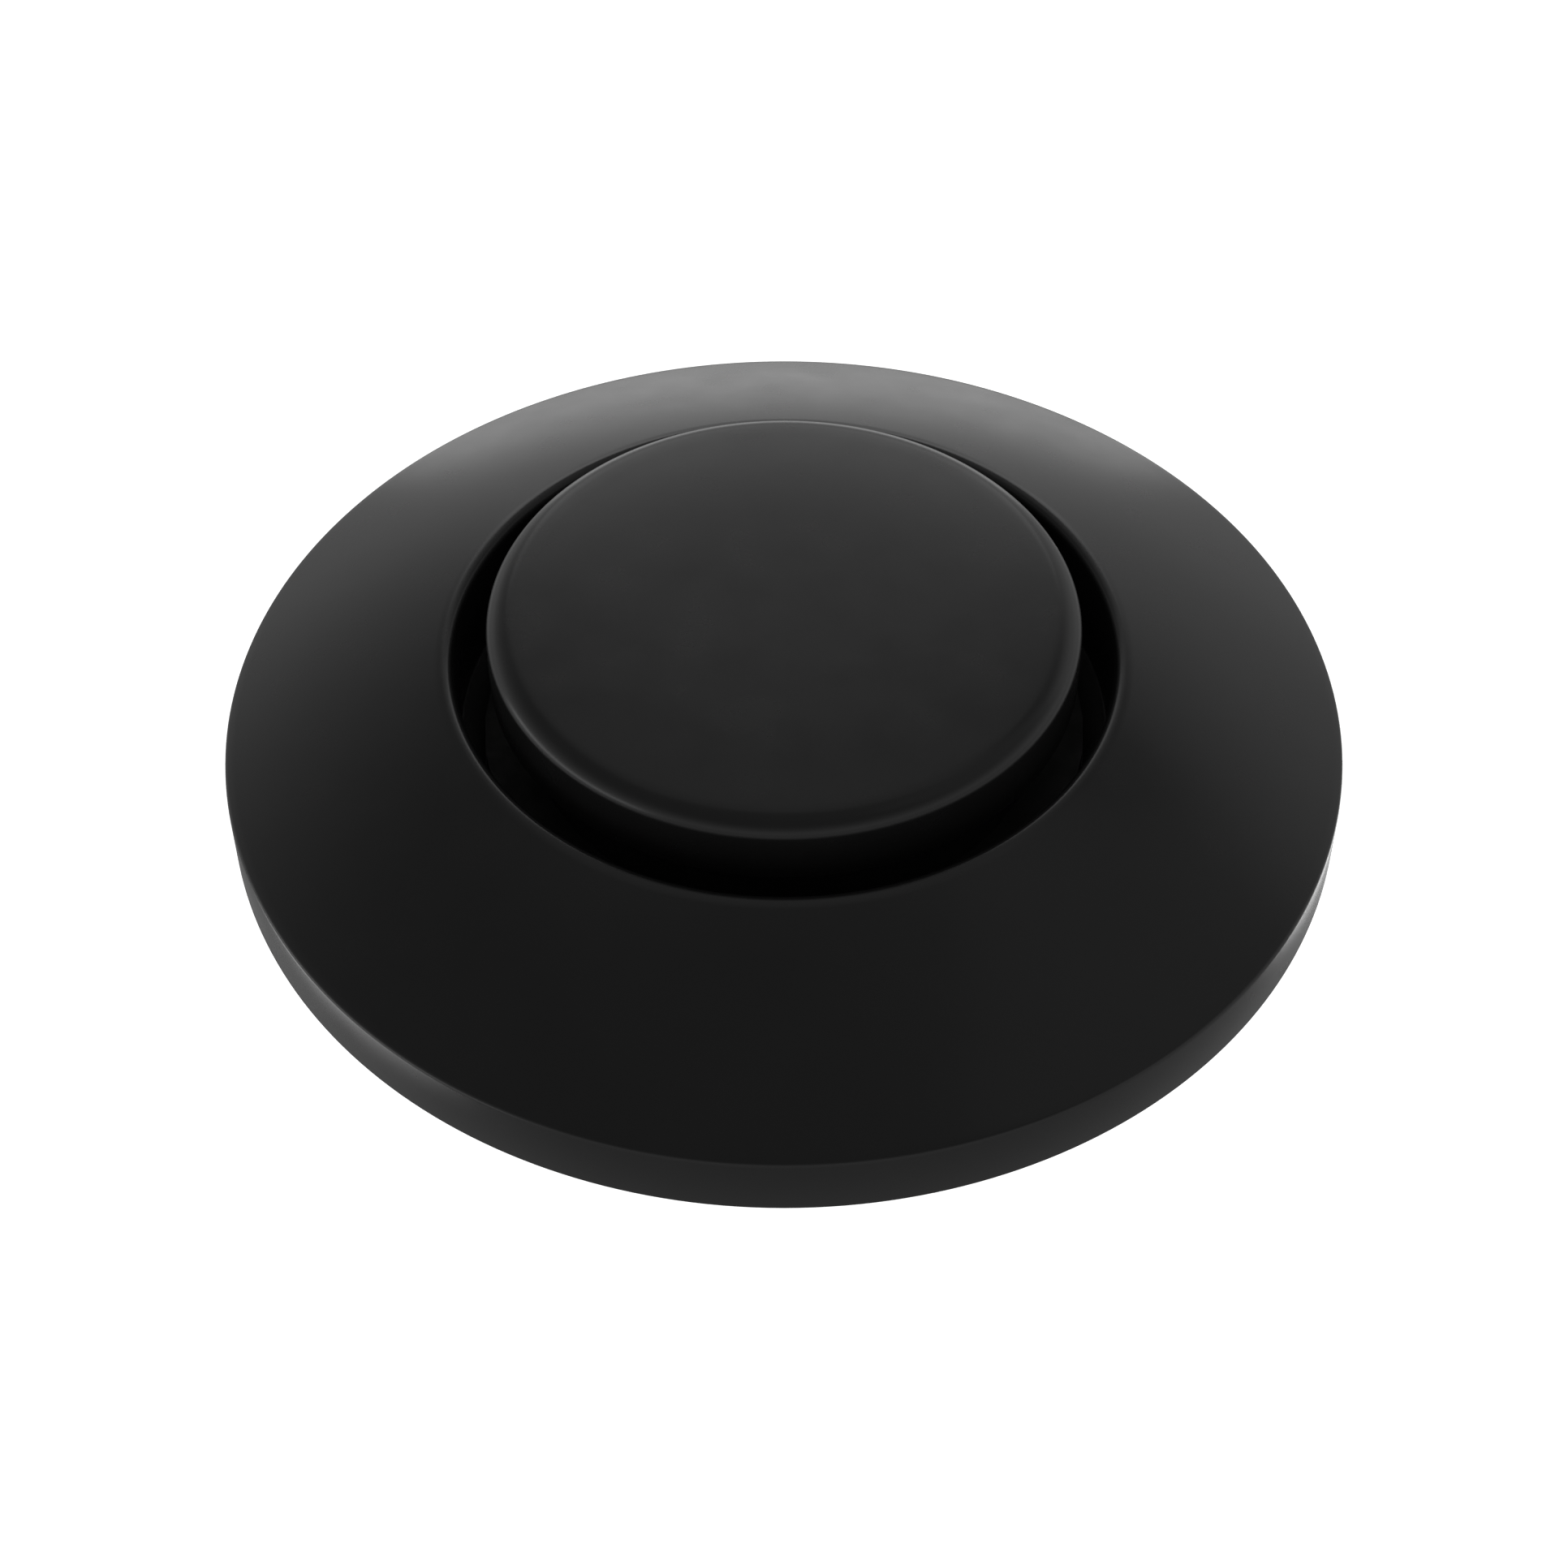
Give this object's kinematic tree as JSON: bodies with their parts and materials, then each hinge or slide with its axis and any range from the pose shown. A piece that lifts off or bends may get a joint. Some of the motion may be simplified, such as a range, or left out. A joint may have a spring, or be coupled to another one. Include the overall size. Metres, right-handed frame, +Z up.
{
  "type": "disposer air switch button",
  "caption": "Round deck-mounted push button: domed bezel, sprung cap over an air bellows, threaded body with clamp nut and hose nipple.",
  "frame": {"origin": "on the button's axis, in the plane of the sink deck's top surface, where the gasket's underside bears", "axes": "+Z up out of the deck along the button's axis; the part is round, and one bezel screw lies on +X"},
  "size_m": [0.048, 0.048, 0.0389],
  "materials": {
    "satin_black_plastic": "satin black",
    "black_nylon": "moulded matte",
    "dark_acetal": "moulded satin",
    "black_rubber": "matte",
    "spring_steel": "drawn wire",
    "screw_steel": "plain",
    "brass": "turned"
  },
  "bodies": {
    "body": {"bezel": "satin_black_plastic", "threaded_housing": "black_nylon", "bezel_seal": "black_rubber", "splash_seal": "black_rubber", "deck_gasket": "black_rubber", "bellows": "black_rubber", "return_spring": "spring_steel", "bellows_clamp_ring": "dark_acetal", "end_plug": "black_nylon", "end_plug_seal": "black_rubber", "hose_nipple": "brass", "nipple_seal": "black_rubber", "bezel_screw_1": "screw_steel", "bezel_screw_2": "screw_steel", "bezel_screw_3": "screw_steel"},
    "button": {"button_cap": "satin_black_plastic", "plunger": "dark_acetal", "cap_grip_ring": "black_rubber"},
    "washers": {"deck_washer": "black_rubber", "thrust_washer": "dark_acetal"},
    "nut": {"mounting_nut": "black_nylon"}
  },
  "joints": [
    {"name": "button_press", "type": "slide", "parent": "body", "child": "button", "axis": [0, 0, 1], "range_m": [-0.003, 0], "stiffness_N_per_m": 600, "springref_m": 0.008, "deforming": ["return_spring", "bellows"]},
    {"name": "washer_travel", "type": "slide", "parent": "body", "child": "washers", "axis": [0, 0, 1], "range_m": [-0.004, 0.001]},
    {"name": "nut_spin", "type": "hinge", "parent": "washers", "child": "nut", "pos_m": [0, 0, 0], "axis": [0, 0, 1], "range_deg": [-720, 180]}
  ],
  "couplings": [
    {"joint": "nut_spin", "follows": "washer_travel", "rad_per_m": 3141.5}
  ]
}
